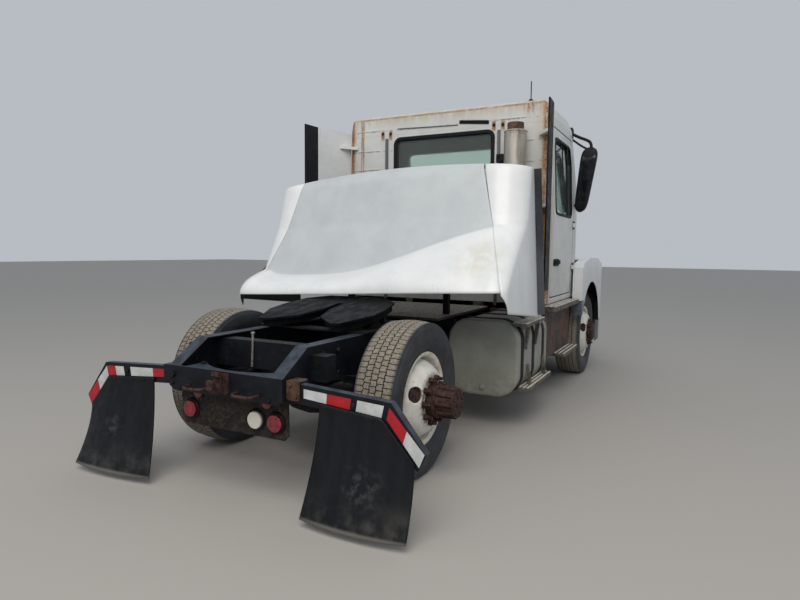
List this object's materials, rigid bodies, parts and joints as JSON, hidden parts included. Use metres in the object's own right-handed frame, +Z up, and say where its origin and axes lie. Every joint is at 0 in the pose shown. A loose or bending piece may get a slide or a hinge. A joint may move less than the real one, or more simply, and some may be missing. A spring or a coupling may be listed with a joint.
{
  "type": "semi truck tractor unit",
  "caption": "Two-axle day-cab road tractor with a tilting coupling plate, moulded fairing behind the cab, side fuel tanks, rear mud flaps and bare outer rear wheel studs.",
  "frame": {"origin": "on the ground under the middle of the bounding box", "axes": "+Y forward, +X the vehicle's right side, +Z up"},
  "size_m": [2.7178, 6.127, 3.0999],
  "materials": {
    "white_paint": "aged gloss white with rust at seams",
    "fiberglass": "weathered white moulding",
    "black_paint": "chipped satin black with dust",
    "dull_steel": "dull grey steel",
    "rusty_iron": "rusted",
    "greasy_iron": "greased and dusty",
    "white_rim": "white enamel with rust runs",
    "tyre": "worn, dusty tread",
    "flap_rubber": "dusty black",
    "tank_paint": "grey paint, satin",
    "tread_aluminium": "ribbed",
    "muffler": "dull aluminised steel",
    "black_plastic": "grained",
    "grey_plastic": "grained",
    "seat_cloth": "woven",
    "window_glass": "tinted green",
    "red_lens": "moulded lens",
    "clear_lens": "moulded lens"
  },
  "bodies": {
    "chassis": {"antenna": "black_plastic", "bumper": "grey_plastic", "cab_body": "white_paint", "cab_roof": "white_paint", "coupling_mount": "black_paint", "crossmembers": "black_paint", "dashboard": "grey_plastic", "deck_plate": "dull_steel", "drive_shaft": "black_paint", "engine": "black_paint", "exhaust_stack": "muffler", "extender_edges": "flap_rubber", "fairing_center": "fiberglass", "fairing_frame": "black_paint", "fairing_sides": "fiberglass", "flap_hangers": "black_paint", "frame_rails": "black_paint", "front_axle": "black_paint", "fuel_tanks": "tank_paint", "lamp_panel": "dull_steel", "leaf_springs": "black_paint", "mirrors": "black_plastic", "mud_flaps": "flap_rubber", "radiator": "black_paint", "rear_axle": "black_paint", "rear_crossmember": "black_paint", "rear_window": "window_glass", "seats": "seat_cloth", "side_extenders": "fiberglass", "step_boxes": "black_plastic", "steps": "tread_aluminium", "tail_lamps": "red_lens", "tank_straps": "dull_steel", "tow_hook": "rusty_iron", "windshield": "window_glass"},
    "hood": {"hood": "fiberglass", "grille": "black_plastic", "headlamps": "clear_lens", "arch_liners": "black_plastic"},
    "door_left": {"door_left": "white_paint", "door_glass_left": "window_glass"},
    "door_right": {"door_right": "white_paint", "door_glass_right": "window_glass"},
    "knuckle_left": {"knuckle_left": "black_paint"},
    "knuckle_right": {"knuckle_right": "black_paint"},
    "tie_rod": {"tie_rod": "black_paint"},
    "front_wheel_left": {"tyre_front_left": "tyre", "wheel_front_left": "white_rim"},
    "front_wheel_right": {"tyre_front_right": "tyre", "wheel_front_right": "white_rim"},
    "rear_wheel_left": {"tyre_rear_left": "tyre", "wheel_rear_left": "white_rim", "hub_rear_left": "rusty_iron"},
    "rear_wheel_right": {"tyre_rear_right": "tyre", "wheel_rear_right": "white_rim", "hub_rear_right": "rusty_iron"},
    "fifth_wheel": {"fifth_wheel_plate": "greasy_iron"},
    "steering_wheel": {"steering_wheel": "black_plastic"}
  },
  "joints": [
    {"name": "steer_left", "type": "hinge", "parent": "chassis", "child": "knuckle_left", "pos_m": [-0.92, 1.8895, 0.505], "axis": [0, 0, 1], "range_deg": [-40, 40]},
    {"name": "steer_right", "type": "hinge", "parent": "chassis", "child": "knuckle_right", "pos_m": [0.92, 1.8895, 0.505], "axis": [0, 0, 1], "range_deg": [-40, 40]},
    {"name": "tie_rod_end", "type": "hinge", "parent": "knuckle_left", "child": "tie_rod", "pos_m": [-0.92, 1.6895, 0.4], "axis": [0, 0, 1], "range_deg": [-40, 40]},
    {"name": "steering_wheel_turn", "type": "hinge", "parent": "chassis", "child": "steering_wheel", "pos_m": [-0.48, 0.9635, 1.72], "axis": [0, -0.8192, 0.5736], "range_deg": [-680, 680]},
    {"name": "front_spin_left", "type": "hinge", "parent": "knuckle_left", "child": "front_wheel_left", "pos_m": [-1.06, 1.8895, 0.505], "axis": [1, 0, 0], "continuous": true},
    {"name": "front_spin_right", "type": "hinge", "parent": "knuckle_right", "child": "front_wheel_right", "pos_m": [1.06, 1.8895, 0.505], "axis": [1, 0, 0], "continuous": true},
    {"name": "rear_spin_left", "type": "hinge", "parent": "chassis", "child": "rear_wheel_left", "pos_m": [-0.752, -2.0565, 0.505], "axis": [1, 0, 0], "continuous": true},
    {"name": "rear_spin_right", "type": "hinge", "parent": "chassis", "child": "rear_wheel_right", "pos_m": [0.752, -2.0565, 0.505], "axis": [1, 0, 0], "continuous": true},
    {"name": "door_left_swing", "type": "hinge", "parent": "chassis", "child": "door_left", "pos_m": [-1.148, 1.2385, 1.53], "axis": [0, 0, -1], "range_deg": [0, 70]},
    {"name": "door_right_swing", "type": "hinge", "parent": "chassis", "child": "door_right", "pos_m": [1.148, 1.2385, 1.53], "axis": [0, 0, 1], "range_deg": [0, 70]},
    {"name": "hood_tilt", "type": "hinge", "parent": "chassis", "child": "hood", "pos_m": [0, 2.9435, 0.64], "axis": [-1, 0, 0], "range_deg": [0, 75]},
    {"name": "coupling_tilt", "type": "hinge", "parent": "chassis", "child": "fifth_wheel", "pos_m": [0, -1.7565, 0.96], "axis": [-1, 0, 0], "range_deg": [0, 20]}
  ],
  "couplings": [
    {"joint": "steer_right", "follows": "steer_left", "ratio": 1},
    {"joint": "tie_rod_end", "follows": "steer_left", "ratio": -1},
    {"joint": "steering_wheel_turn", "follows": "steer_left", "ratio": 17}
  ]
}
